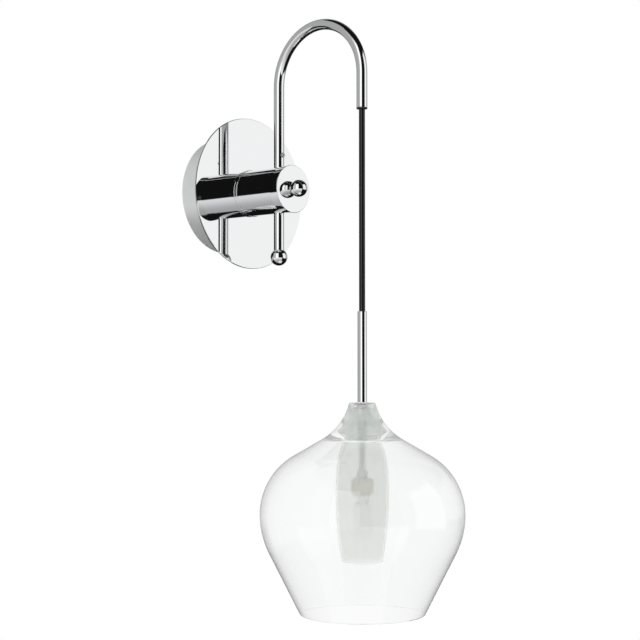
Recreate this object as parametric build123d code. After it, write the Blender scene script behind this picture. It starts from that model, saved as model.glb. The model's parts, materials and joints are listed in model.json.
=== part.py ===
from build123d import *
import os
from math import acos, atan2, degrees, hypot, radians, sqrt, tan

# A chrome wall arm that carries a double glass pendant. Sizes are in millimetres.
# The wall is the plane y = 0, the lamp stands out along -Y and +Z is up.
# The origin is the centre of the canopy's back, on the wall.

# ---- clearances --------------------------------------------------------------------------------
RUN = 0.05            # radial, a fit that turns or slides
SEAT = 0.05           # radial, a fit that stays still
LOOSE = 0.3           # between pieces that move past each other and never touch

# ---- small screws --------------------------------------------------------------------------------
HEAD_ROUND = 0.6             # share of a domed head's height that is rounded
DRIVE_SLOT_W = 0.9
DRIVE_SLOT_DEPTH = 0.9

# ---- canopy ------------------------------------------------------------------------------------
DRUM_D = 92.0
DRUM_DEPTH = 29.0
DRUM_WALL = 1.2
DISC_D = 120.0
DISC_T = 1.5
DISC_EDGE = 0.3

# ---- wall bracket and wiring inside the canopy ---------------------------------------------------
BRACKET_W = 20.0
BRACKET_T = 1.5
TAB_DEPTH = 14.0
FIX_SPACING = 66.0
FIX_SLOT_W = 4.6
FIX_SLOT_L = 10.0
CABLE_HOLE_D = 11.0
CABLE_HOLE_LEVEL = -11.0
SIDE_SCREW_D = 4.0
SIDE_SCREW_L = 7.0
SIDE_HEAD_D = 7.0
SIDE_HEAD_H = 1.8
SIDE_SCREW_INSET = 8.0       # from the wall to the screw's axis
EARTH_SCREW_D = 4.0
EARTH_HEAD_D = 7.0
EARTH_HEAD_H = 2.2
EARTH_RING_D = 8.4
EARTH_RING_T = 0.8
EARTH_LEVEL = -21.5
BLOCK_W = 27.0
BLOCK_H = 13.0
BLOCK_T = 12.0
BLOCK_LEVEL = 8.0            # height of the terminal block's lower side
BLOCK_WAYS = 3
BLOCK_SCREW_D = 3.2
BLOCK_SCREW_L = 4.0
BLOCK_BORE_D = 3.0
WIRE_D = 1.6
WIRE_BEND = 4.0
WIRE_OFFSET = 1.7            # of each wire from the middle of the hollow stud
FAN_LIVE = 8.0               # where live and neutral start to spread, in front of the stud's end
FAN_EARTH = 4.0

# ---- boss --------------------------------------------------------------------------------------
RING_D = 37.3
RING_T = 2.4
RING_EDGE = 0.4
BOSS_D = 36.4
BOSS_LENGTH = 44.1           # from the base ring to the end face, cap included
BOSS_BASE_T = 6.0
BOSS_BORE_D = 24.0
FLARE_LENGTH = 8.4
END_FACE_D = 37.4
END_EDGE = 0.35
CAP_T = 6.0
NIPPLE_D = 10.0
NIPPLE_BORE_D = 7.5
NIPPLE_IN_DRUM = 7.5
NUT_ACROSS_FLATS = 14.0
NUT_T = 4.0
WASHER_D = 18.0
WASHER_T = 1.0

# ---- clamp knob --------------------------------------------------------------------------------
BALL_D = 13.5
KNOB_SCREW_D = 4.0
KNOB_SCREW_IN_BALL = 7.0
KNOB_SEAT_GAP = 0.25         # ball to end face when the arm is clamped
KNOB_SEAT_D = 7.6            # flat on the ball
PAD_D = 5.0
PAD_LENGTH = 3.4
KNOB_PITCH = 0.7             # travel of the pad in one turn

# ---- arm ---------------------------------------------------------------------------------------
TUBE_D = 8.2
TUBE_WALL = 1.0
TUBE_FROM_END_FACE = 15.4    # tube axis behind the end face
ARC_R = 42.7
ARC_LEVEL = 81.7             # height of the arc's centre
EXIT_LEVEL = 54.2            # height of the mouth where the cord hangs out
FINIAL_LEVEL = -52.4         # height of the lower ball's centre
FINIAL_SPIGOT = 8.0
BUSH_D = 10.0
BUSH_LENGTH = 3.4
BUSH_FLANGE_D = 11.8
BUSH_FLANGE_T = 1.0
BUSH_SEAT = 11.0             # height of the flat that the flange rests on
STOP_HEAD_D = 3.8
STOP_HEAD_H = 0.9
STOP_SCREW_D = 2.5
STOP_KEY_D = 1.5             # hexagonal recess in the stop screw, across its corners
STOP_KEY_DEPTH = 0.7
CORD_SLOT_W = 5.2
HEIGHT_TRAVEL = 7.2          # of the arm, up and down, before the stop screw meets the boss

# ---- cord and its exit ---------------------------------------------------------------------------
CORD_D = 4.6
EXIT_BUSH_FLANGE = 1.0
EXIT_BUSH_SLEEVE = 7.0
EXIT_BUSH_WALL = 0.45
EXIT_MOUTH_D = 6.4
PIVOT_IN_MOUTH = 1.5         # point where the cord bends, above the mouth
STEM_TOP_LEVEL = -97.4
CORD_IN_STEM = 38.0
GRIP_LENGTH = 9.0

# ---- stem and what hangs on it -------------------------------------------------------------------
STEM_D = 7.0
STEM_BORE_D = 5.2
STEM_LENGTH = 67.6
STEM_EDGE = 0.3
CARRIER_D = 5.0
CARRIER_BORE_D = 3.4
CARRIER_IN_STEM = 15.0
GASKET_D = 8.4
GASKET_T = 0.5
CORE_D = 1.3
CORE_SPACING = 1.5

# ---- outer shade: depths are below its flat top ----------------------------------------------------
SHADE_HEIGHT = 155.9
SHADE_NECK_D = 20.2
SHADE_MAX_D = 152.0
SHADE_MAX_DEPTH = 82.5
SHADE_SHOULDER_R = 50.0
SHADE_SLOPE = 60.0           # degrees from upright, of the straight flank under the flared neck
SHADE_SLOPE_LENGTH = 24.0
SHADE_TAPER_R = 62.0
SHADE_RIM_D = 92.8
SHADE_WALL = 2.0
SHADE_TOP_T = 1.8
SHADE_TOP_EDGE = 1.4
SHADE_LIP_H = 0.5            # of the rounded rim's outer edge, above the lowest line
BELL_DEPTH = 27.9            # of the bell's flat ceiling, round the solid neck
BELL_CORNER_R = 8.0          # between ceiling and flank
NECK_JOINT = 0.12            # film of cement between the two shades

# ---- inner shade: depths are below its own top -----------------------------------------------------
INNER_HEIGHT = 115.4
INNER_NECK_TOP_D = 14.2
INNER_NECK_D = 21.4
INNER_NECK_DEPTH = 20.7
INNER_MAX_D = 39.9
INNER_MAX_DEPTH = 64.7
INNER_BELLY_R = 220.0
INNER_BELLY_TURN = 4.7       # degrees of the belly's arc above the widest level
INNER_RIM_D = 30.8
INNER_WALL = 1.8
INNER_TOP_T = 3.0
INNER_TOP_EDGE = 1.0
INNER_LIP_H = 0.9            # of the rounded rim

# ---- clamp, socket and bulb ------------------------------------------------------------------------
CLAMP_NUT_D = 8.6
CLAMP_NUT_T = 9.5
SOCKET_D = 17.1
SOCKET_H = 9.0
SOCKET_TAPER = 2.0
SOCKET_END_D = 13.4
SOCKET_DEPTH_BELOW_TOP = 57.2    # socket's top below the outer shade's flat top
HOLDER_D = 16.0
HOLDER_T = 1.2
HOLDER_HUB_D = 8.0
HOLDER_HUB_H = 4.0
LOCK_NUT_D = 8.0
LOCK_NUT_T = 2.5
HOLDER_SCREW_D = 2.5
HOLDER_SCREW_L = 6.0
HOLDER_SCREW_HEAD_D = 4.2
HOLDER_SCREW_HEAD_H = 1.2
HOLDER_SCREW_OFFSET = 5.6
PIN_SPACING = 9.0
PIN_D = 1.0
PIN_LENGTH = 8.0
PIN_HOLE_D = 2.0
CONTACT_W = 3.2
CONTACT_T = 2.6
CONTACT_H = 4.6
CONTACT_SLIT = 1.6
CONTACT_BRIDGE = 1.0         # metal left above the slit
BULB_GAP = 0.3
BULB_BASE_W = 9.9
BULB_BASE_T = 4.6
BULB_BASE_H = 6.0
BULB_D = 12.6
BULB_H = 25.0
BULB_TIP_R = 5.6
BULB_SHOULDER_R = 1.5

# ---- places that follow from the sizes -------------------------------------------------------------
DRUM_INNER = DRUM_DEPTH - DRUM_WALL
DISC_FACE = DRUM_DEPTH + DISC_T
RING_FACE = DISC_FACE + RING_T
END_FACE = RING_FACE + BOSS_LENGTH
CAP_BACK = END_FACE - CAP_T
FLARE_START = END_FACE - FLARE_LENGTH
BORE_START = RING_FACE + BOSS_BASE_T
ARM_AXIS = END_FACE - TUBE_FROM_END_FACE
HANG_AXIS = ARM_AXIS + 2 * ARC_R
CAP_SPIGOT = CAP_BACK - (ARM_AXIS + BUSH_FLANGE_D / 2 + LOOSE)
STOP_LEVEL = BOSS_D / 2 + HEIGHT_TRAVEL + LOOSE + STOP_HEAD_D / 2
CORD_SLOT_H = 2 * (BOSS_D / 2 - HEIGHT_TRAVEL - LOOSE)
TUBE_BORE_D = TUBE_D - 2 * TUBE_WALL
TUBE_END_LEVEL = EXIT_LEVEL + EXIT_BUSH_FLANGE
PIVOT_LEVEL = EXIT_LEVEL + PIVOT_IN_MOUTH
FINIAL_SEAT = FINIAL_LEVEL + sqrt((BALL_D / 2) ** 2 - (TUBE_D / 2) ** 2)
STEM_END_LEVEL = STEM_TOP_LEVEL - STEM_LENGTH
SHADE_TOP = STEM_END_LEVEL - GASKET_T
INNER_TOP = SHADE_TOP - SHADE_TOP_T - GASKET_T
CLAMP_TOP = INNER_TOP - INNER_TOP_T - GASKET_T
SOCKET_TOP = SHADE_TOP - SOCKET_DEPTH_BELOW_TOP
SOCKET_END = SOCKET_TOP - SOCKET_H - SOCKET_TAPER

OUT = (0, -1, 0)
IN = (0, 1, 0)
UP = (0, 0, 1)
DOWN = (0, 0, -1)


# ---- helpers ---------------------------------------------------------------------------------------
def rod(start, direction, diameter, length):
    """A solid cylinder from a point along a direction."""
    return Part() + Solid.make_cylinder(diameter / 2, length, Plane(origin=start, z_dir=direction))


def pipe(start, direction, outer, inner, length):
    """A round tube or washer from a point along a direction."""
    return rod(start, direction, outer, length) - rod(start, direction, inner, length)


def block(low, high):
    """A box between two corners."""
    size = [b - a for a, b in zip(low, high)]
    middle = [(a + b) / 2 for a, b in zip(low, high)]
    return Pos(*middle) * Box(*size)


def ball(centre, diameter):
    return Pos(*centre) * Sphere(diameter / 2)


def hexagon(start, direction, across_flats, length):
    """A hexagonal bar from a point along a direction."""
    face = Plane(origin=start, z_dir=direction) * RegularPolygon(across_flats / sqrt(3), 6)
    return extrude(face, length)


def slot(centre, direction, length, width, depth):
    """The solid of an upright slot with round ends, cut from a point along a direction."""
    face = Plane(origin=centre, x_dir=UP, z_dir=direction) * SlotOverall(length, width)
    return extrude(face, depth)


def turned(edges, axis_y, top):
    """A solid turned about a vertical axis, from edges given as (radius, height above the top)."""
    section = Plane.XZ * make_face(edges)
    return Pos(0, axis_y, top) * revolve(section, Axis.Z)


def outward(distance, x=0.0, z=0.0):
    """A point at a distance from the wall."""
    return (x, -distance, z)


def turn_to_reach(centre, radius, end):
    """Degrees that an arc runs down from its widest point, until its tangent meets the end point."""
    across, down = end[0] - centre[0], centre[1] - end[1]
    return degrees(atan2(down, across) - acos(radius / hypot(across, down)))


# ---- canopy ----------------------------------------------------------------------------------------
def canopy_drum():
    drum = rod(outward(0), OUT, DRUM_D, DRUM_DEPTH)
    drum -= rod(outward(0), OUT, DRUM_D - 2 * DRUM_WALL, DRUM_INNER)
    drum -= rod(outward(DRUM_INNER), OUT, NIPPLE_D + 2 * SEAT, DRUM_WALL)
    for side in (-1, 1):
        drum -= rod(outward(SIDE_SCREW_INSET), (0, 0, side), SIDE_SCREW_D + 2 * LOOSE, DRUM_D)
    return drum


def canopy_disc():
    disc = rod(outward(DRUM_DEPTH), OUT, DISC_D, DISC_T)
    disc = chamfer(disc.edges().filter_by(GeomType.CIRCLE), DISC_EDGE)
    return disc - rod(outward(DRUM_DEPTH), OUT, NIPPLE_D + 2 * SEAT, DISC_T)


def tab_height():
    """Height of the outer face of the bracket's bent tab."""
    return DRUM_D / 2 - DRUM_WALL - LOOSE


def wall_bracket():
    reach = tab_height()
    plate = block((-BRACKET_W / 2, -BRACKET_T, -reach), (BRACKET_W / 2, 0, reach))
    for side in (-1, 1):
        tab = block((-BRACKET_W / 2, -TAB_DEPTH, reach - BRACKET_T), (BRACKET_W / 2, -BRACKET_T, reach))
        tab &= rod(outward(0), OUT, 2 * reach, TAB_DEPTH)
        plate += tab if side > 0 else mirror(tab, Plane.XY)
        plate -= slot(outward(0, z=side * FIX_SPACING / 2), OUT, FIX_SLOT_L, FIX_SLOT_W, BRACKET_T)
        plate -= rod(outward(SIDE_SCREW_INSET), (0, 0, side), SIDE_SCREW_D + 2 * SEAT, reach)
    plate &= rod(outward(0), OUT, 2 * reach, TAB_DEPTH)
    plate -= rod(outward(0, z=CABLE_HOLE_LEVEL), OUT, CABLE_HOLE_D, BRACKET_T)
    plate -= rod(outward(0, z=EARTH_LEVEL), OUT, EARTH_SCREW_D + 2 * SEAT, BRACKET_T)
    return plate


def canopy_screws():
    screws = []
    for side in (-1, 1):
        head = rod(outward(SIDE_SCREW_INSET, z=side * DRUM_D / 2), (0, 0, side), SIDE_HEAD_D, SIDE_HEAD_H)
        head = fillet(head.edges().sort_by(Axis.Z)[-1 if side > 0 else 0], SIDE_HEAD_H * HEAD_ROUND)
        shank = rod(outward(SIDE_SCREW_INSET, z=side * DRUM_D / 2), (0, 0, -side), SIDE_SCREW_D,
                    SIDE_SCREW_L)
        screws.append(head + shank)
    return screws


def drive_slot(face, x, level, length):
    """The screwdriver slot across a screw that faces away from the wall."""
    return block((x - length, -face, level - DRIVE_SLOT_W / 2),
                 (x + length, -face + DRIVE_SLOT_DEPTH, level + DRIVE_SLOT_W / 2))


def earth_screw():
    top = BRACKET_T + EARTH_RING_T
    head = rod(outward(top, z=EARTH_LEVEL), OUT, EARTH_HEAD_D, EARTH_HEAD_H)
    shank = rod(outward(LOOSE, z=EARTH_LEVEL), OUT, EARTH_SCREW_D, top - LOOSE)
    return head + shank - drive_slot(top + EARTH_HEAD_H, 0, EARTH_LEVEL, EARTH_HEAD_D)


def earth_ring():
    return pipe(outward(BRACKET_T, z=EARTH_LEVEL), OUT, EARTH_RING_D, EARTH_SCREW_D + 2 * SEAT,
                EARTH_RING_T)


def way_places():
    pitch = BLOCK_W / BLOCK_WAYS
    return [(i - (BLOCK_WAYS - 1) / 2) * pitch for i in range(BLOCK_WAYS)]


def terminal_block():
    face = BRACKET_T + BLOCK_T
    body = block((-BLOCK_W / 2, -face, BLOCK_LEVEL), (BLOCK_W / 2, -BRACKET_T, BLOCK_LEVEL + BLOCK_H))
    for x in way_places():
        body -= rod((x, -face + BLOCK_T / 2, BLOCK_LEVEL), UP, BLOCK_BORE_D, BLOCK_H)
        body -= rod((x, -face, BLOCK_LEVEL + BLOCK_H / 2), IN, BLOCK_SCREW_D + 2 * SEAT, BLOCK_SCREW_L)
    return body


def terminal_screws():
    level = BLOCK_LEVEL + BLOCK_H / 2
    face = BRACKET_T + BLOCK_T
    screws = []
    for x in way_places():
        screw = rod((x, -face, level), IN, BLOCK_SCREW_D, BLOCK_SCREW_L)
        screws.append(screw - drive_slot(face, x, level, BLOCK_SCREW_D))
    return screws


def bent_wire(points):
    path = FilletPolyline(*points, radius=WIRE_BEND)
    section = Plane(origin=path @ 0, z_dir=path % 0) * Circle(WIRE_D / 2)
    return sweep(section, path=path)


def lead_wires():
    """Live, neutral and earth from the boss through the hollow stud to their terminals."""
    start = ARM_AXIS - TUBE_D / 2 - 2 * LOOSE
    terminal = BRACKET_T + BLOCK_T / 2
    wires = []
    for side, x in ((-1, way_places()[0]), (1, way_places()[-1])):
        wires.append(bent_wire([outward(start, side * WIRE_OFFSET),
                                outward(NIPPLE_IN_DRUM + FAN_LIVE, side * WIRE_OFFSET),
                                outward(terminal, x, BLOCK_LEVEL - WIRE_BEND),
                                outward(terminal, x, BLOCK_LEVEL)]))
    wires.append(bent_wire([outward(start, 0, -WIRE_OFFSET),
                            outward(NIPPLE_IN_DRUM + FAN_EARTH, 0, -WIRE_OFFSET),
                            outward(BRACKET_T + WIRE_D, 0, EARTH_LEVEL + EARTH_RING_D / 2 + WIRE_D / 2)]))
    return wires


# ---- boss ------------------------------------------------------------------------------------------
def boss_base_ring():
    ring = rod(outward(DISC_FACE), OUT, RING_D, RING_T)
    ring = fillet(ring.edges().filter_by(GeomType.CIRCLE), RING_EDGE)
    return ring - rod(outward(DISC_FACE), OUT, NIPPLE_D + 2 * SEAT, RING_T)


def boss_outside():
    """The boss and its cap as one outline: a cylinder that flares to the end face."""
    slope = Solid.make_cone(BOSS_D / 2, END_FACE_D / 2, FLARE_LENGTH,
                            Plane(outward(FLARE_START), z_dir=OUT))
    return rod(outward(RING_FACE), OUT, BOSS_D, FLARE_START - RING_FACE) + slope


def boss_body():
    body = boss_outside() - rod(outward(CAP_BACK), OUT, 2 * END_FACE_D, CAP_T)
    body -= rod(outward(BORE_START), OUT, BOSS_BORE_D, CAP_BACK - BORE_START)
    body -= rod(outward(RING_FACE), OUT, NIPPLE_D + 2 * SEAT, BOSS_BASE_T)
    body -= rod(outward(ARM_AXIS, z=-BOSS_D), UP, TUBE_D + 2 * LOOSE, 2 * BOSS_D)
    seat = rod(outward(ARM_AXIS), UP, BUSH_FLANGE_D + 2 * LOOSE, BUSH_SEAT)
    pocket = rod(outward(ARM_AXIS), UP, BUSH_D + 2 * RUN, BUSH_SEAT + BUSH_LENGTH)
    for cut in (seat, pocket):
        body -= cut
        body -= mirror(cut, Plane.XY)
    return body


def boss_end_cap():
    cap = boss_outside() & rod(outward(CAP_BACK), OUT, 2 * END_FACE_D, CAP_T)
    cap = fillet(cap.edges().sort_by(Axis.Y)[0], END_EDGE)
    cap += rod(outward(CAP_BACK), IN, BOSS_BORE_D - 2 * SEAT, CAP_SPIGOT)
    cap -= rod(outward(CAP_BACK - CAP_SPIGOT), OUT, KNOB_SCREW_D + 2 * RUN, CAP_T + CAP_SPIGOT)
    pocket = pad_back() + KNOB_PITCH + LOOSE
    return cap - rod(outward(pocket), IN, PAD_D + 2 * RUN, pocket - (CAP_BACK - CAP_SPIGOT))


def boss_nipple():
    start = DRUM_INNER - NIPPLE_IN_DRUM
    return pipe(outward(start), OUT, NIPPLE_D, NIPPLE_BORE_D, BORE_START - start)


def boss_washer():
    return pipe(outward(DRUM_INNER), IN, WASHER_D, NIPPLE_D + 2 * SEAT, WASHER_T)


def boss_nut():
    face = DRUM_INNER - WASHER_T
    nut = hexagon(outward(face), IN, NUT_ACROSS_FLATS, NUT_T)
    return nut - rod(outward(face), IN, NIPPLE_D + 2 * SEAT, NUT_T)


# ---- clamp knob ------------------------------------------------------------------------------------
def pad_front():
    """Distance from the wall of the pad's end at the tube."""
    return ARM_AXIS + TUBE_D / 2 + LOOSE


def pad_back():
    return pad_front() + PAD_LENGTH


def clamp_pad():
    return rod(outward(pad_front()), OUT, PAD_D, PAD_LENGTH)


def knob_seat():
    return END_FACE + KNOB_SEAT_GAP


def knob_centre():
    return knob_seat() + sqrt((BALL_D / 2) ** 2 - (KNOB_SEAT_D / 2) ** 2)


def knob_ball():
    knob = ball(outward(knob_centre()), BALL_D)
    knob -= rod(outward(knob_seat()), IN, BALL_D, BALL_D)
    return knob - rod(outward(knob_seat()), OUT, KNOB_SCREW_D + 2 * SEAT, KNOB_SCREW_IN_BALL)


def knob_screw():
    return rod(outward(pad_back()), OUT, KNOB_SCREW_D, knob_seat() + KNOB_SCREW_IN_BALL - pad_back())


# ---- arm -------------------------------------------------------------------------------------------
def swivel_bushes():
    seat = outward(ARM_AXIS, z=BUSH_SEAT)
    bush = rod(seat, UP, BUSH_D, BUSH_LENGTH) + rod(seat, DOWN, BUSH_FLANGE_D, BUSH_FLANGE_T)
    bush -= rod(outward(ARM_AXIS), UP, TUBE_D + 2 * RUN, BOSS_D)
    return [bush, mirror(bush, Plane.XY)]


def arch(diameter):
    """A half ring over the two legs."""
    section = Plane.XY * Pos(0, -ARM_AXIS) * Circle(diameter / 2)
    centre = Axis((0, -ARM_AXIS - ARC_R, 0), (-1, 0, 0))
    return Pos(0, 0, ARC_LEVEL) * revolve(section, centre, -180)


def hook(diameter, low_leg, low_hang):
    """The gooseneck's course as a solid: leg, half ring and hanging leg."""
    leg = rod(outward(ARM_AXIS, z=low_leg), UP, diameter, ARC_LEVEL - low_leg)
    hang = rod(outward(HANG_AXIS, z=low_hang), UP, diameter, ARC_LEVEL - low_hang)
    return leg + arch(diameter) + hang


def gooseneck_tube():
    tube = hook(TUBE_D, FINIAL_SEAT, TUBE_END_LEVEL) - hook(TUBE_BORE_D, FINIAL_SEAT, TUBE_END_LEVEL)
    tube -= slot(outward(ARM_AXIS), IN, CORD_SLOT_H, CORD_SLOT_W, TUBE_D)
    return tube - rod(outward(ARM_AXIS, z=STOP_LEVEL), OUT, STOP_SCREW_D + 2 * SEAT, TUBE_D)


def tube_stop_screw():
    face = ARM_AXIS + TUBE_D / 2
    start = outward(face - TUBE_WALL / 2, z=STOP_LEVEL)
    head = rod(start, OUT, STOP_HEAD_D, TUBE_WALL / 2 + STOP_HEAD_H)
    head = fillet(head.edges().sort_by(Axis.Y)[0], STOP_HEAD_H * HEAD_ROUND)
    head -= rod(outward(ARM_AXIS, z=STOP_LEVEL - TUBE_D), UP, TUBE_D, 2 * TUBE_D)
    shank = rod(outward(face - TUBE_WALL, z=STOP_LEVEL), OUT, STOP_SCREW_D, TUBE_WALL + STOP_HEAD_H / 2)
    key = Plane(outward(face + STOP_HEAD_H, z=STOP_LEVEL), z_dir=IN) * RegularPolygon(STOP_KEY_D / 2, 6)
    return head + shank - extrude(key, STOP_KEY_DEPTH)


def ball_finial():
    finial = ball(outward(ARM_AXIS, z=FINIAL_LEVEL), BALL_D)
    finial -= rod(outward(ARM_AXIS, z=FINIAL_SEAT), UP, BALL_D, BALL_D)
    return finial + rod(outward(ARM_AXIS, z=FINIAL_SEAT), UP, TUBE_BORE_D - 2 * SEAT, FINIAL_SPIGOT)


def exit_bush():
    sleeve_d = TUBE_BORE_D - 2 * SEAT
    sleeve = rod(outward(HANG_AXIS, z=TUBE_END_LEVEL), UP, sleeve_d, EXIT_BUSH_SLEEVE)
    flange = rod(outward(HANG_AXIS, z=EXIT_LEVEL), UP, TUBE_D, EXIT_BUSH_FLANGE)
    bore_d = sleeve_d - 2 * EXIT_BUSH_WALL
    bush = sleeve + flange - rod(outward(HANG_AXIS, z=EXIT_LEVEL), UP, bore_d,
                                 EXIT_BUSH_FLANGE + EXIT_BUSH_SLEEVE)
    mouth = Solid.make_cone(EXIT_MOUTH_D / 2, bore_d / 2, PIVOT_IN_MOUTH + LOOSE,
                            Plane(outward(HANG_AXIS, z=EXIT_LEVEL), z_dir=UP))
    return bush - mouth


# ---- cord ------------------------------------------------------------------------------------------
def arm_cord():
    """The cord inside the gooseneck, from the slot in the boss to the exit."""
    return hook(CORD_D, -CORD_SLOT_H / 2 + CORD_D / 2, PIVOT_LEVEL + CORD_D / 2 + RUN)


def cord_exit_bend():
    """The short length of cord that bends in the mouth of the tube."""
    return ball(outward(HANG_AXIS, z=PIVOT_LEVEL), CORD_D)


def pendant_cord():
    cord = rod(outward(HANG_AXIS, z=STEM_TOP_LEVEL), UP, CORD_D, PIVOT_LEVEL - STEM_TOP_LEVEL)
    return cord - ball(outward(HANG_AXIS, z=PIVOT_LEVEL), CORD_D + 2 * RUN)


def stem_cord():
    """The end of the cord, held inside the stem."""
    return rod(outward(HANG_AXIS, z=STEM_TOP_LEVEL), DOWN, CORD_D, CORD_IN_STEM)


def cord_grip():
    """A crimped sleeve on the end of the cord."""
    start = outward(HANG_AXIS, z=STEM_TOP_LEVEL - CORD_IN_STEM + GRIP_LENGTH)
    return pipe(start, DOWN, STEM_BORE_D - 2 * SEAT, CORD_D + 2 * SEAT, GRIP_LENGTH)


def core_wires():
    """The two cores from the end of the cord to the socket."""
    top = STEM_TOP_LEVEL - CORD_IN_STEM
    return [rod((x, -HANG_AXIS, top), DOWN, CORE_D, top - SOCKET_TOP)
            for x in (-CORE_SPACING / 2, CORE_SPACING / 2)]


# ---- stem ------------------------------------------------------------------------------------------
def stem_tube():
    stem = pipe(outward(HANG_AXIS, z=STEM_TOP_LEVEL), DOWN, STEM_D, STEM_BORE_D, STEM_LENGTH)
    return chamfer(stem.edges().group_by(Axis.Z)[-1].sort_by(SortBy.RADIUS)[-1], STEM_EDGE)


def carrier_tube():
    """The threaded tube that holds both shades and the socket."""
    top = STEM_END_LEVEL + CARRIER_IN_STEM
    return pipe(outward(HANG_AXIS, z=top), DOWN, CARRIER_D, CARRIER_BORE_D, top - SOCKET_TOP)


def gasket(top):
    return pipe(outward(HANG_AXIS, z=top), DOWN, GASKET_D, CARRIER_D + 2 * SEAT, GASKET_T)


def neck_gaskets():
    """Silicone washers above, between and below the two shades."""
    return [gasket(STEM_END_LEVEL), gasket(INNER_TOP + GASKET_T), gasket(CLAMP_TOP + GASKET_T)]


# ---- shades ----------------------------------------------------------------------------------------
def inner_side(inset):
    """The inner shade's neck, shoulder, belly and taper, drawn in by inset, from its top down."""
    widest = (INNER_MAX_D / 2 - inset, -INNER_MAX_DEPTH)
    waist = (INNER_NECK_D / 2 - inset, -INNER_NECK_DEPTH)
    rim = (INNER_RIM_D / 2 - inset, INNER_LIP_H - INNER_HEIGHT)
    neck = Line((INNER_NECK_TOP_D / 2 - inset, -INNER_TOP_EDGE), waist)
    belly = JernArc(widest, (0, 1), INNER_BELLY_R - inset, INNER_BELLY_TURN)
    shoulder = TangentArc(belly @ 1, waist, tangent=belly % 1)
    return neck, shoulder, belly, TangentArc(widest, rim, tangent=(0, -1))


def neck_bore():
    """The outer shade's bore, a film of cement outside the inner shade, down to the bell's ceiling."""
    drop = INNER_TOP - SHADE_TOP
    neck, shoulder, *_ = inner_side(-NECK_JOINT)
    bore = Line(neck @ 0 + (0, drop), neck @ 1 + (0, drop))
    ceiling = Axis((0, -BELL_DEPTH, 0), (1, 0, 0))
    return bore, JernArc(bore @ 1, -(shoulder % 1), shoulder.radius, ceiling)


def outer_side(inset):
    """The outer shade's slope, shoulder, taper and skirt, drawn in by inset."""
    widest = (SHADE_MAX_D / 2 - inset, -SHADE_MAX_DEPTH)
    centre = (SHADE_MAX_D / 2 - SHADE_TAPER_R, -SHADE_MAX_DEPTH)
    rim = (SHADE_RIM_D / 2, SHADE_LIP_H - SHADE_HEIGHT)
    shoulder = JernArc(widest, (0, 1), SHADE_SHOULDER_R - inset, SHADE_SLOPE)
    slope = Line(shoulder @ 1, shoulder @ 1 + SHADE_SLOPE_LENGTH * (shoulder % 1))
    taper = JernArc(widest, (0, -1), SHADE_TAPER_R - inset, -turn_to_reach(centre, SHADE_TAPER_R, rim))
    reach = hypot(rim[0] - centre[0], rim[1] - centre[1])
    skirt = Line(taper @ 1, taper @ 1 + sqrt(reach ** 2 - SHADE_TAPER_R ** 2) * (taper % 1))
    return slope, shoulder, taper, skirt


def bell():
    """The outer shade's inside: its flat ceiling, the corner there, and the wall down to the rim."""
    _, shoulder, taper, skirt = outer_side(SHADE_WALL)
    down = -(shoulder @ 1).Y - BELL_DEPTH
    meeting = (shoulder @ 1).X - down * tan(radians(SHADE_SLOPE))
    corner_turn = 90 - SHADE_SLOPE
    start = (meeting - BELL_CORNER_R * tan(radians(corner_turn / 2)), -BELL_DEPTH)
    corner = JernArc(start, (1, 0), BELL_CORNER_R, -corner_turn)
    return corner, Line(corner @ 1, shoulder @ 1), shoulder, taper, skirt


def outer_shade():
    slope, shoulder, taper, skirt = outer_side(0)
    neck = (SHADE_NECK_D / 2, -SHADE_TOP_EDGE)
    corner = (neck[0] - SHADE_TOP_EDGE, 0)
    outside = [RadiusArc(corner, neck, SHADE_TOP_EDGE), TangentArc(slope @ 1, neck, tangent=slope % 1),
               slope, shoulder, taper, skirt]
    inside = bell()
    lip = TangentArc(skirt @ 1, inside[-1] @ 1, tangent=skirt % 1)
    bore, flare = neck_bore()
    ceiling = Line(flare @ 1, inside[0] @ 0)
    hole = CARRIER_D / 2 + LOOSE
    shelf = Polyline(bore @ 0, ((bore @ 0).X, -SHADE_TOP_T), (hole, -SHADE_TOP_T), (hole, 0), corner)
    return turned([*outside, lip, *inside, ceiling, flare, bore, shelf], -HANG_AXIS, SHADE_TOP)


def inner_shade():
    outside, inside = inner_side(0), inner_side(INNER_WALL)
    top = outside[0] @ 0
    corner = (top.X - INNER_TOP_EDGE, 0)
    edge = RadiusArc(corner, top, INNER_TOP_EDGE)
    lip = TangentArc(outside[-1] @ 1, inside[-1] @ 1, tangent=outside[-1] % 1)
    hole = CARRIER_D / 2 + LOOSE
    neck_in = inside[0] @ 1
    ceiling = Polyline(neck_in, (top.X - INNER_WALL, -INNER_TOP_T), (hole, -INNER_TOP_T), (hole, 0), corner)
    return turned([edge, *outside, lip, *inside[1:], ceiling], -HANG_AXIS, INNER_TOP)


# ---- clamp, socket and bulb --------------------------------------------------------------------------
def clamp_nut():
    return pipe(outward(HANG_AXIS, z=CLAMP_TOP), DOWN, CLAMP_NUT_D, CARRIER_D + 2 * SEAT, CLAMP_NUT_T)


def lock_nut():
    low = SOCKET_TOP + HOLDER_T + HOLDER_HUB_H
    return pipe(outward(HANG_AXIS, z=low), UP, LOCK_NUT_D, CARRIER_D + 2 * SEAT, LOCK_NUT_T)


def screw_places():
    return [(0, -HANG_AXIS + side * HOLDER_SCREW_OFFSET) for side in (-1, 1)]


def socket_holder():
    top = SOCKET_TOP + HOLDER_T
    holder = rod(outward(HANG_AXIS, z=SOCKET_TOP), UP, HOLDER_D, HOLDER_T)
    holder += rod(outward(HANG_AXIS, z=top), UP, HOLDER_HUB_D, HOLDER_HUB_H)
    holder -= rod(outward(HANG_AXIS, z=SOCKET_TOP), UP, CARRIER_D + 2 * SEAT, HOLDER_T + HOLDER_HUB_H)
    for x, y in screw_places():
        holder -= rod((x, y, SOCKET_TOP), UP, HOLDER_SCREW_D + 2 * SEAT, HOLDER_T)
    return holder


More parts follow.
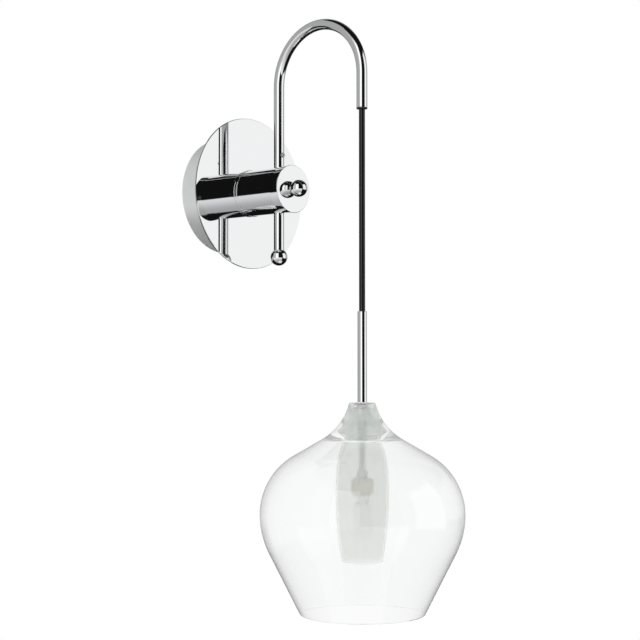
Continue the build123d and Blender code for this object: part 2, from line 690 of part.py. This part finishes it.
def holder_screws():
    top = SOCKET_TOP + HOLDER_T
    screws = []
    for x, y in screw_places():
        head = rod((x, y, top), UP, HOLDER_SCREW_HEAD_D, HOLDER_SCREW_HEAD_H)
        hub = rod(outward(HANG_AXIS, z=top), UP, HOLDER_HUB_D + 2 * SEAT, HOLDER_HUB_H)
        screws.append(head - hub + rod((x, y, top), DOWN, HOLDER_SCREW_D, HOLDER_SCREW_L))
    return screws


def pin_places():
    return [-PIN_SPACING / 2, PIN_SPACING / 2]


def contact_pocket(x, ease):
    """The space of one contact clip, opened on every side by ease."""
    half_w, half_t = CONTACT_W / 2 + ease, CONTACT_T / 2 + ease
    return block((x - half_w, -HANG_AXIS - half_t, SOCKET_TOP - CONTACT_H - ease),
                 (x + half_w, -HANG_AXIS + half_t, SOCKET_TOP))


def socket_body():
    body = rod(outward(HANG_AXIS, z=SOCKET_TOP), DOWN, SOCKET_D, SOCKET_H)
    body += Solid.make_cone(SOCKET_D / 2, SOCKET_END_D / 2, SOCKET_TAPER,
                            Plane(outward(HANG_AXIS, z=SOCKET_TOP - SOCKET_H), z_dir=DOWN))
    for x in pin_places():
        body -= contact_pocket(x, SEAT)
        body -= rod((x, -HANG_AXIS, SOCKET_END), UP, PIN_HOLE_D, SOCKET_TOP - SOCKET_END)
    for x, y in screw_places():
        body -= rod((x, y, SOCKET_TOP), DOWN, HOLDER_SCREW_D + 2 * SEAT, HOLDER_SCREW_L)
    return body


def socket_contacts():
    """Spring clips that the bulb's pins push into."""
    clips = []
    for x in pin_places():
        slit = block((x - CONTACT_SLIT / 2, -HANG_AXIS - CONTACT_T, SOCKET_TOP - CONTACT_H),
                     (x + CONTACT_SLIT / 2, -HANG_AXIS + CONTACT_T, SOCKET_TOP - CONTACT_BRIDGE))
        clips.append(contact_pocket(x, 0) - slit)
    return clips


def bulb_top():
    return SOCKET_END - BULB_GAP


def bulb_base():
    low = bulb_top() - BULB_BASE_H
    return block((-BULB_BASE_W / 2, -HANG_AXIS - BULB_BASE_T / 2, low),
                 (BULB_BASE_W / 2, -HANG_AXIS + BULB_BASE_T / 2, bulb_top()))


def bulb_glass():
    top = bulb_top() - BULB_BASE_H
    capsule = rod(outward(HANG_AXIS, z=top), DOWN, BULB_D, BULB_H)
    rims = capsule.edges().filter_by(GeomType.CIRCLE).sort_by(Axis.Z)
    capsule = fillet(rims[0], BULB_TIP_R)
    return fillet(capsule.edges().filter_by(GeomType.CIRCLE).sort_by(Axis.Z)[-1], BULB_SHOULDER_R)


def bulb_pins():
    return [rod((x, -HANG_AXIS, bulb_top()), UP, PIN_D, PIN_LENGTH) for x in pin_places()]


# ---- the assembly ------------------------------------------------------------------------------------
NODES = (wall_bracket, canopy_screws, earth_screw, earth_ring, terminal_block, terminal_screws,
         lead_wires, canopy_drum, canopy_disc, boss_base_ring, boss_body, boss_end_cap, boss_nipple,
         boss_washer, boss_nut, clamp_pad, knob_ball, knob_screw, swivel_bushes, gooseneck_tube,
         tube_stop_screw, ball_finial, exit_bush, arm_cord, cord_exit_bend, pendant_cord, stem_cord,
         cord_grip, core_wires, stem_tube, carrier_tube, neck_gaskets, outer_shade, inner_shade,
         clamp_nut, lock_nut, socket_holder, holder_screws, socket_body, socket_contacts, bulb_base,
         bulb_glass, bulb_pins)


def as_one(shape):
    """A node's solids as one compound."""
    pieces = shape if isinstance(shape, list) else [shape]
    return Compound(children=[solid for piece in pieces for solid in piece.solids()])


def main():
    os.makedirs("parts", exist_ok=True)
    for make in NODES:
        node = as_one(make())
        node.label = make.__name__
        export_step(node, f"parts/{make.__name__}.step")


main()
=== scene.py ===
"""Looks of a chrome wall sconce with a double glass pendant. Metres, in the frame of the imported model."""
import json
import math

import bmesh
import bpy
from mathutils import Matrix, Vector


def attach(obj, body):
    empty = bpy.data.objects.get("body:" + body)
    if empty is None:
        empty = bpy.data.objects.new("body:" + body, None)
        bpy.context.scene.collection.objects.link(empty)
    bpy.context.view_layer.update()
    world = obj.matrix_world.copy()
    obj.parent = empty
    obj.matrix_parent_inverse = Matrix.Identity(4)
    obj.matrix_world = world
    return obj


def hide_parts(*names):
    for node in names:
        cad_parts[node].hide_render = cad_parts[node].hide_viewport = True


MM = 0.001

# ---- the photograph's camera -------------------------------------------------------------------------
CAMERA_AT = (-0.838845, -0.855109, -0.145646)
CAMERA_TOWARDS = (0.744854, 0.666146, 0.037970)
CAMERA_LENS = 82.97
SENSOR = 36.0

# ---- the cord's run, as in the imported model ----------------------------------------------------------
HANG_Y = -0.147
PIVOT_Z = 0.0557
STEM_TOP_Z = -0.0974
CORD_STEP = 0.051            # from either end to the next point of the route
CORD_D = 0.0046

# ---- fit of the two shades, in millimetres -----------------------------------------------------------
CEMENT_FILM = 0.12           # between their necks in the frame
SHELF_GAP = 0.5              # in the frame, from the etched shade's top up to the clear shade's ledge
FILM_REACH = 3 * CEMENT_FILM     # clear glass this near outside the etched shade is across the cement
SHELF_REACH = 1.5 * SHELF_GAP    # clear glass this near above the etched shade is the ledge
CONTACT = 0.05               # how far the clear glass reaches into the etched glass
CORNER = 1.3                 # from the etched shade's top to just below its rounded edge
JOINT_MAX_R = 19.0           # no vertex of the joint lies further out than this
OUTWARD = 0.2                # least outward part of a normal on an outer side

# ---- looks of the glass and the wires ----------------------------------------------------------------
NECK_END_Z = -0.190          # above this height the etched glass has its neck's painted light, whiter and denser
BODY_TOP_Z = -0.205          # below this height it looks as in its body
OPAL_COVER = 0.3             # share of the view that one skin of the etched glass hides
NECK_COVER = 0.45            # the same in the neck, denser there as part of its painted light
GLASS_DEPTH = 4              # bounces after which light caught in the clear glass is let out
WIRE_HALF_GAP = 0.0009       # from the middle of the canopy to the nearest edges of its side wires

# ---- studio ------------------------------------------------------------------------------------------
FLOOR_Z = -0.80
FLOOR_R = 2.1
FLOOR_GLOW = 0.3             # added for the camera alone, so that the floor shows white
LIGHT_AIM = (0, -0.1, -0.1)
STUDIO_LIGHT = 0.82          # of the surroundings on what is matt
STUDIO_DARK = 0.007          # added all round to what shiny things see
WHITE_IN_GLASS = 0.92        # how white the studio is to reflections inside clear glass
WHITE_AFTER_MIRRORS = 0.6    # share of the white through glass that is left after two reflections

PANEL_SOFT = 3.0             # degrees by which a panel's edge is soft to each side
TABLE_SOFT = 1.5             # the same for the table

# What shiny things see: bearing, half width, lowest and highest angle in degrees, and strength.
PANELS = [
    (250, 17, -14, 48, 1.25),    # soft box on the camera's left
    (278, 14, -14, 48, 0.55),    # its spill on the side wall
    (146, 22, -12, 38, 1.0),     # soft box on the camera's right
    (100, 24, -5, 25, 0.45),     # its spill
    (325, 38, -24, 56, 0.42),    # side wall on the left, behind the lamp
    (40, 44, -9, 56, 0.30),      # backdrop behind the lamp
]
TABLE = (243, 66, -89, -10.5, 1.0)
TABLE_RISE = (-52.0, -12.0, 0.42, 0.88)    # two angles, and the table's brightness at each

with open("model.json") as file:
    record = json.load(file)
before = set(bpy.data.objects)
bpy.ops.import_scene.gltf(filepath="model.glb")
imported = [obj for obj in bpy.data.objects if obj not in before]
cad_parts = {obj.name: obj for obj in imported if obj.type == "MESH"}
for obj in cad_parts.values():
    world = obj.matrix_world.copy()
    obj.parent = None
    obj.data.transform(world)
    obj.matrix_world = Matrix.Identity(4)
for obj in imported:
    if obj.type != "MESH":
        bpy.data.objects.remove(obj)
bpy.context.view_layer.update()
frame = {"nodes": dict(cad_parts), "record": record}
nodes = frame["nodes"]


# ---- node helpers ------------------------------------------------------------------------------------
class Tree:
    """A short way to add and join shader nodes."""

    def __init__(self, owner):
        owner.use_nodes = True
        self.tree = owner.node_tree
        self.tree.nodes.clear()

    def add(self, kind, **values):
        node = self.tree.nodes.new(kind)
        for name, value in values.items():
            setattr(node, name, value)
        return node

    def join(self, source, target):
        self.tree.links.new(source, target)

    def put(self, socket, value):
        """Set a socket to a number or colour, or join it to another node's socket."""
        if isinstance(value, bpy.types.NodeSocket):
            self.join(value, socket)
        else:
            socket.default_value = value

    def math(self, operation, *values):
        node = self.add("ShaderNodeMath", operation=operation)
        for socket, value in zip(node.inputs, values):
            self.put(socket, value)
        return node.outputs[0]

    def ramp(self, value, low, high, to_low=0.0, to_high=1.0):
        """A smooth step from low to high."""
        node = self.add("ShaderNodeMapRange", interpolation_type="SMOOTHSTEP")
        for socket, number in zip(node.inputs, (value, low, high, to_low, to_high)):
            self.put(socket, number)
        return node.outputs[0]

    def axes(self, coordinates):
        """The X, Y and Z outputs of the named texture coordinates."""
        split = self.add("ShaderNodeSeparateXYZ")
        self.join(self.add("ShaderNodeTexCoord").outputs[coordinates], split.inputs[0])
        return split.outputs

    def noise(self, scale, detail=3.0, stretch=(1, 1, 1)):
        """Noise in object space, with features of 1/scale metres."""
        place = self.add("ShaderNodeTexCoord").outputs["Object"]
        mapping = self.add("ShaderNodeMapping")
        mapping.inputs["Scale"].default_value = stretch
        self.join(place, mapping.inputs["Vector"])
        node = self.add("ShaderNodeTexNoise")
        node.inputs["Scale"].default_value = scale
        node.inputs["Detail"].default_value = detail
        self.join(mapping.outputs[0], node.inputs["Vector"])
        return node.outputs["Fac"]

    def bump(self, height, strength, distance):
        node = self.add("ShaderNodeBump")
        node.inputs["Strength"].default_value = strength
        node.inputs["Distance"].default_value = distance
        self.join(height, node.inputs["Height"])
        return node.outputs[0]

    def background(self, strength):
        """A white background shader of this strength."""
        node = self.add("ShaderNodeBackground")
        node.inputs["Color"].default_value = (1, 1, 1, 1)
        self.put(node.inputs["Strength"], strength)
        return node.outputs[0]

    def choose(self, share, first, second):
        """A mix of two shaders, with this share of the second."""
        node = self.add("ShaderNodeMixShader")
        for socket, source in zip(node.inputs, (share, first, second)):
            self.join(source, socket)
        return node.outputs[0]

    def blend(self, share, first, second):
        """A colour between two colours."""
        node = self.add("ShaderNodeMix", data_type="RGBA")
        self.put(node.inputs["Factor"], share)
        self.put(node.inputs[6], first)
        self.put(node.inputs[7], second)
        return node.outputs[2]


def principled(name, colour, roughness, **sockets):
    """A material with one shader. Returns the material, its tree and its shader."""
    material = bpy.data.materials.new(name)
    tree = Tree(material)
    shader = tree.add("ShaderNodeBsdfPrincipled")
    output = tree.add("ShaderNodeOutputMaterial")
    tree.join(shader.outputs[0], output.inputs["Surface"])
    shader.inputs["Base Color"].default_value = (*colour, 1.0)
    shader.inputs["Roughness"].default_value = roughness
    for socket, value in sockets.items():
        shader.inputs[socket.replace("_", " ")].default_value = value
    return material, tree, shader


# ---- materials ---------------------------------------------------------------------------------------
def chrome(name="chrome_plate", colour=(0.86, 0.865, 0.87)):
    """Mirror plating with faint handling haze and polishing waves."""
    material, tree, shader = principled(name, colour, 0.02, Metallic=1.0)
    haze = tree.noise(60.0, detail=1.0)
    tree.join(tree.ramp(haze, 0.45, 0.75, 0.004, 0.03), shader.inputs["Roughness"])
    waves = tree.noise(35.0, detail=0.0)
    tree.join(tree.bump(waves, 0.01, 0.0003), shader.inputs["Normal"])
    return material


def satin_metal():
    """The drum's silver-grey satin coat: fine orange peel and metal flake."""
    material, tree, shader = principled("satin_coat", (0.84, 0.855, 0.85), 0.4, Metallic=0.7)
    flake = tree.noise(2600.0, detail=2.0)
    tree.join(tree.blend(flake, (0.81, 0.825, 0.82, 1), (0.87, 0.885, 0.88, 1)),
              shader.inputs["Base Color"])
    tree.join(tree.ramp(flake, 0.3, 0.7, 0.32, 0.42), shader.inputs["Roughness"])
    tree.join(tree.bump(tree.noise(900.0), 0.15, 0.00005), shader.inputs["Normal"])
    return material


def zinc_steel():
    """Pressed steel with a thin zinc plate: patchy blue-grey, with rolling marks."""
    material, tree, shader = principled("zinc_plate", (0.46, 0.47, 0.48), 0.3, Metallic=1.0)
    patch = tree.noise(140.0, detail=4.0)
    tree.join(tree.blend(patch, (0.38, 0.40, 0.42, 1), (0.54, 0.54, 0.52, 1)), shader.inputs["Base Color"])
    marks = tree.noise(500.0, detail=2.0, stretch=(1, 1, 0.05))
    tree.join(tree.ramp(marks, 0.3, 0.7, 0.22, 0.42), shader.inputs["Roughness"])
    tree.join(tree.bump(marks, 0.1, 0.00005), shader.inputs["Normal"])
    return material


def brass():
    """Turned brass, a little tarnished."""
    material, tree, shader = principled("turned_brass", (0.78, 0.60, 0.32), 0.28, Metallic=1.0)
    patch = tree.noise(220.0, detail=4.0)
    tree.join(tree.blend(patch, (0.62, 0.45, 0.22, 1), (0.84, 0.67, 0.38, 1)), shader.inputs["Base Color"])
    rings = tree.noise(2500.0, detail=1.0, stretch=(0.1, 0.1, 1))
    tree.join(tree.bump(rings, 0.1, 0.00003), shader.inputs["Normal"])
    return material


def moulded(name, colour, roughness=0.45):
    """A moulded plastic or rubber with a fine spark-eroded grain."""
    material, tree, shader = principled(name, colour, roughness)
    texture = tree.noise(1800.0)
    darker = (*[0.88 * c for c in colour], 1)
    tree.join(tree.blend(texture, darker, (*colour, 1)), shader.inputs["Base Color"])
    tree.join(tree.bump(texture, 0.12, 0.00006), shader.inputs["Normal"])
    return material


def cord_sheath():
    """Smooth black cord sheath, with faint lengthwise extrusion lines."""
    material, tree, shader = principled("cord_sheath", (0.005, 0.005, 0.006), 0.15)
    lines = tree.noise(1500.0, detail=2.0, stretch=(1, 1, 0.02))
    tree.join(tree.ramp(lines, 0.3, 0.7, 0.10, 0.18), shader.inputs["Roughness"])
    tree.join(tree.bump(lines, 0.1, 0.00006), shader.inputs["Normal"])
    return material


def clear_glass():
    """Thick clear blown glass with slow waves. Light caught in its wall is let out after a few bounces."""
    material, tree, shader = principled("clear_glass", (0.985, 0.99, 0.988), 0.0, IOR=1.5,
                                        Transmission_Weight=1.0)
    tree.join(tree.bump(tree.noise(9.0, detail=0.0), 0.01, 0.001), shader.inputs["Normal"])
    depth = tree.add("ShaderNodeLightPath").outputs["Ray Depth"]
    tree.join(tree.math("LESS_THAN", depth, GLASS_DEPTH), shader.inputs["Alpha"])
    return material


def opal_glass():
    """Acid-etched glass: a milky satin skin that lets part of the view through. Its neck is painted whiter
    and denser, as painted light for the brightening by the thick clear neck around it.
    """
    material, tree, shader = principled("etched_glass", (0.9, 0.93, 0.915), 0.5, IOR=1.45,
                                        Alpha=OPAL_COVER, Specular_IOR_Level=0.3)
    height = tree.axes("Object")["Z"]
    lower = tree.ramp(height, NECK_END_Z, BODY_TOP_Z)
    cloud = tree.noise(120.0)
    # painted light: the neck's colour is whiter than the body's, for the brightening by the thick clear
    # glass around it
    milk_and_painted_neck_light = tree.blend(lower, (0.95, 0.985, 0.965, 1), (0.79, 0.81, 0.785, 1))
    tree.join(tree.blend(tree.math("MULTIPLY", cloud, 0.12), milk_and_painted_neck_light, (0.86, 0.90, 0.87, 1)),
              shader.inputs["Base Color"])
    # the neck's denser cover is part of the same painted light
    cover = tree.ramp(height, NECK_END_Z, BODY_TOP_Z, NECK_COVER, OPAL_COVER)
    tree.join(cover, shader.inputs["Alpha"])
    etch = tree.noise(1600.0, detail=4.0)
    tree.join(tree.ramp(etch, 0.3, 0.7, 0.42, 0.58), shader.inputs["Roughness"])
    tree.join(tree.bump(etch, 0.1, 0.00004), shader.inputs["Normal"])
    return material


def ceramic():
    """Glazed beige steatite."""
    material, tree, shader = principled("steatite", (0.52, 0.48, 0.36), 0.3)
    speck = tree.noise(1200.0, detail=4.0)
    tree.join(tree.blend(speck, (0.46, 0.42, 0.30, 1), (0.58, 0.54, 0.42, 1)), shader.inputs["Base Color"])
    return material


def bulb_glass():
    """Lightly frosted pressed glass."""
    material, tree, shader = principled("bulb_glass", (0.93, 0.94, 0.93), 0.25, IOR=1.46,
                                        Transmission_Weight=0.8)
    tree.join(tree.bump(tree.noise(900.0), 0.08, 0.00004), shader.inputs["Normal"])
    return material


def wires():
    """Insulation in brown, green and blue, one colour for each wire of the canopy.

    The two thinner cores in the stem lie across the borders, so each of them shows two colours.
    """
    material, tree, shader = principled("wire_insulation", (0.2, 0.1, 0.05), 0.4)
    across = tree.axes("Object")["X"]
    left = tree.math("LESS_THAN", across, -WIRE_HALF_GAP)
    right = tree.math("GREATER_THAN", across, WIRE_HALF_GAP)
    inner = tree.blend(left, (0.10, 0.38, 0.06, 1), (0.16, 0.065, 0.025, 1))
    tree.join(tree.blend(right, inner, (0.015, 0.12, 0.42, 1)), shader.inputs["Base Color"])
    return material


MATERIALS = {
    "chrome": chrome(),
    "satin_metal": satin_metal(),
    "zinc_steel": zinc_steel(),
    "brass": brass(),
    "terminal_plastic": moulded("terminal_nylon", (0.80, 0.79, 0.74)),
    "wire_insulation": wires(),
    "nylon": moulded("black_nylon", (0.03, 0.03, 0.032)),
    "cord_sheath": cord_sheath(),
    "silicone": moulded("silicone", (0.80, 0.81, 0.80), 0.5),
    "clear_glass": clear_glass(),
    "opal_glass": opal_glass(),
    "ceramic": ceramic(),
    "bulb_glass": bulb_glass(),
    "bulb_pin": chrome("bulb_pin", (0.7, 0.69, 0.67)),
}


def dress(piece, slot):
    """Give a new piece its slot's material."""
    piece.data.materials.clear()
    piece.data.materials.append(MATERIALS[slot])


def dress_cad_nodes():
    """Give each solid of the frame the material of its slot in the record."""
    for part in frame["record"]["subparts"]:
        for slot in nodes[part["node"]].material_slots:
            slot.material = MATERIALS[part["material_slot"]]


# ---- cord --------------------------------------------------------------------------------------------
def pendant_cord():
    """The cord hangs straight under the shade's weight, from the arm's mouth to the stem."""
    curve = bpy.data.curves.new("pendant_cord_run", "CURVE")
    curve.dimensions = "3D"
    curve.bevel_depth = CORD_D / 2
    curve.bevel_resolution = 12
    curve.resolution_u = 16
    curve.use_fill_caps = True
    levels = [PIVOT_Z, PIVOT_Z - CORD_STEP, STEM_TOP_Z + CORD_STEP, STEM_TOP_Z]
    spline = curve.splines.new("NURBS")
    spline.points.add(len(levels) - 1)
    for point, level in zip(spline.points, levels):
        point.co = (0, HANG_Y, level, 1)
    spline.order_u = 3
    spline.use_endpoint_u = True
    cord = bpy.data.objects.new("pendant_cord_run", curve)
    bpy.context.scene.collection.objects.link(cord)
    dress(cord, "cord_sheath")
    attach(cord, "cord")
    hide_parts("pendant_cord", "cord_exit_bend")


# ---- glass -------------------------------------------------------------------------------------------
def radii(mesh):
    """Each vertex's distance from the pendant's axis, in millimetres, with its height."""
    return [(math.hypot(v.co.x, v.co.y - HANG_Y) / MM, v.co.z / MM) for v in mesh.vertices]


def outer_profile(mesh):
    """The radius of the outer side at each height, as two lists from the top down."""
    widest = {}
    for vertex, (radius, height) in zip(mesh.vertices, radii(mesh)):
        across = vertex.co.x * vertex.normal.x + (vertex.co.y - HANG_Y) * vertex.normal.y
        if across / (radius * MM) > OUTWARD:
            level = round(height, 1)
            widest[level] = max(widest.get(level, 0.0), radius)
    levels = sorted(widest, reverse=True)
    return levels, [widest[level] for level in levels]


def between(levels, values, height):
    """The value at a height, on straight lines between the given levels, which fall. 0 beyond them."""
    for upper, lower, first, second in zip(levels, levels[1:], values, values[1:]):
        if lower <= height <= upper:
            share = (upper - height) / (upper - lower)
            return first + share * (second - first)
    return 0.0


def clear_bell():
    """The clear shade, fused to the etched one: no surface and no film of air between the two necks."""
    mesh = nodes["outer_shade"].data.copy()
    levels, widths = outer_profile(nodes["inner_shade"].data)
    inner_top = levels[0]
    joined = set()
    for vertex, (radius, height) in zip(mesh.vertices, radii(mesh)):
        if radius > JOINT_MAX_R:
            continue
        if inner_top < height < inner_top + SHELF_REACH:
            vertex.co.z = (inner_top - CONTACT) * MM
            joined.add(vertex.index)
        target = between(levels, widths, min(height, inner_top - CORNER))
        if target and 0 < radius - target < FILM_REACH:
            factor = (target - CONTACT) / radius
            vertex.co.x *= factor
            vertex.co.y = HANG_Y + (vertex.co.y - HANG_Y) * factor
            joined.add(vertex.index)
    shell = bmesh.new()
    shell.from_mesh(mesh)
    touching = [face for face in shell.faces if all(v.index in joined for v in face.verts)]
    bmesh.ops.delete(shell, geom=touching, context="FACES")
    shell.to_mesh(mesh)
    shell.free()
    piece = bpy.data.objects.new("clear_bell", mesh)
    bpy.context.scene.collection.objects.link(piece)
    dress(piece, "clear_glass")
    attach(piece, "pendant")
    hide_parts("outer_shade")


# ---- camera ------------------------------------------------------------------------------------------
def camera():
    """The photograph's viewpoint."""
    data = bpy.data.cameras.new("camera")
    data.lens = CAMERA_LENS
    data.sensor_width = SENSOR
    data.sensor_fit = "HORIZONTAL"
    data.clip_start = 0.01
    data.clip_end = 50.0
    view = bpy.data.objects.new("camera", data)
    view.location = CAMERA_AT
    view.rotation_euler = Vector(CAMERA_TOWARDS).to_track_quat("-Z", "Y").to_euler()
    bpy.context.scene.collection.objects.link(view)
    bpy.context.scene.camera = view


# ---- studio ------------------------------------------------------------------------------------------
def in_degrees(tree, operation, *values):
    """The angle that an arc function gives, in degrees."""
    return tree.math("MULTIPLY", tree.math(operation, *values), 180 / math.pi)


def studio_map(tree):
    """How bright each direction of a dim studio is, with its soft boxes, walls and table."""
    direction = tree.axes("Generated")
    azimuth = in_degrees(tree, "ARCTAN2", direction["X"], direction["Y"])
    height = in_degrees(tree, "ARCSINE", direction["Z"])

    def away(centre):
        """Degrees round the horizon from a compass bearing."""
        turned = tree.math("FLOORED_MODULO", tree.math("ADD", azimuth, 540.0 - centre), 360.0)
        return tree.math("ABSOLUTE", tree.math("SUBTRACT", turned, 180.0))

    def panel(centre, half_width, low, high, strength, soft=PANEL_SOFT):
        across = tree.ramp(away(centre), half_width - soft, half_width + soft, 1.0, 0.0)
        above = tree.ramp(height, low - soft, low + soft)
        below = tree.ramp(height, high - soft, high + soft, 1.0, 0.0)
        both = tree.math("MULTIPLY", tree.math("MULTIPLY", across, above), below)
        return tree.math("MULTIPLY", both, strength)

    brighter_afar = tree.ramp(height, *TABLE_RISE)
    total = tree.math("MULTIPLY", panel(*TABLE, soft=TABLE_SOFT), brighter_afar)
    for numbers in PANELS:
        total = tree.math("MAXIMUM", total, panel(*numbers))
    return tree.math("ADD", total, STUDIO_DARK)


def whiteness(tree, path):
    """The share of plain white in what a ray sees: all of it for the camera, most of it through glass."""
    inside_glass = tree.math("GREATER_THAN", path["Transmission Depth"], 0.5)
    inside_glass = tree.math("MULTIPLY", inside_glass, WHITE_IN_GLASS)
    through_glass = tree.math("MAXIMUM", path["Is Transmission Ray"], inside_glass)
    few_mirrors = tree.ramp(path["Glossy Depth"], 1.2, 1.8, 1.0, WHITE_AFTER_MIRRORS)
    through_glass = tree.math("MULTIPLY", through_glass, few_mirrors)
    return tree.math("MAXIMUM", path["Is Camera Ray"], through_glass)


def studio_world():
    """White to the camera and through glass. Shiny things see the studio, matt things an even light."""
    world = bpy.data.worlds.new("studio")
    bpy.context.scene.world = world
    tree = Tree(world)
    path = tree.add("ShaderNodeLightPath").outputs
    shiny = tree.background(studio_map(tree))
    lit = tree.choose(path["Is Glossy Ray"], tree.background(STUDIO_LIGHT), shiny)
    output = tree.add("ShaderNodeOutputWorld")
    tree.join(tree.choose(whiteness(tree, path), lit, tree.background(1.0)), output.inputs["Surface"])


def floor():
    """A pale floor well below the lamp: white to the camera, but it keeps the lamp's shadow."""
    mesh = bpy.data.meshes.new("floor")
    round_floor = bmesh.new()
    bmesh.ops.create_circle(round_floor, cap_ends=True, segments=96, radius=FLOOR_R)
    round_floor.to_mesh(mesh)
    round_floor.free()
    piece = bpy.data.objects.new("floor", mesh)
    piece.location = (0, 0, FLOOR_Z)
    bpy.context.scene.collection.objects.link(piece)
    material, tree, shader = principled("floor", (0.9, 0.9, 0.9), 0.8, Specular_IOR_Level=0.0,
                                        Emission_Color=(1, 1, 1, 1))
    to_camera = tree.add("ShaderNodeLightPath").outputs["Is Camera Ray"]
    tree.join(tree.math("MULTIPLY", to_camera, FLOOR_GLOW), shader.inputs["Emission Strength"])
    mesh.materials.append(material)
    piece.visible_glossy = False
    piece.visible_transmission = False


def square_light(name, place, size, power):
    """A square light, aimed at the object, that only matt things see."""
    data = bpy.data.lights.new(name, "AREA")
    data.shape = "SQUARE"
    data.size = size
    data.energy = power
    light = bpy.data.objects.new(name, data)
    light.location = place
    aim = Vector(LIGHT_AIM) - Vector(place)
    light.rotation_euler = aim.to_track_quat("-Z", "Y").to_euler()
    light.visible_glossy = False
    light.visible_transmission = False
    light.visible_camera = False
    bpy.context.scene.collection.objects.link(light)


def studio():
    """The colour transform, the surroundings, the floor and two lights."""
    bpy.context.scene.view_settings.view_transform = "Standard"
    studio_world()
    floor()
    square_light("key", (-1.8, -0.2, -0.2), 0.8, 15.0)
    square_light("fill", (0.9, -1.8, 0.6), 1.0, 5.0)


camera()
studio()
dress_cad_nodes()
pendant_cord()
clear_bell()
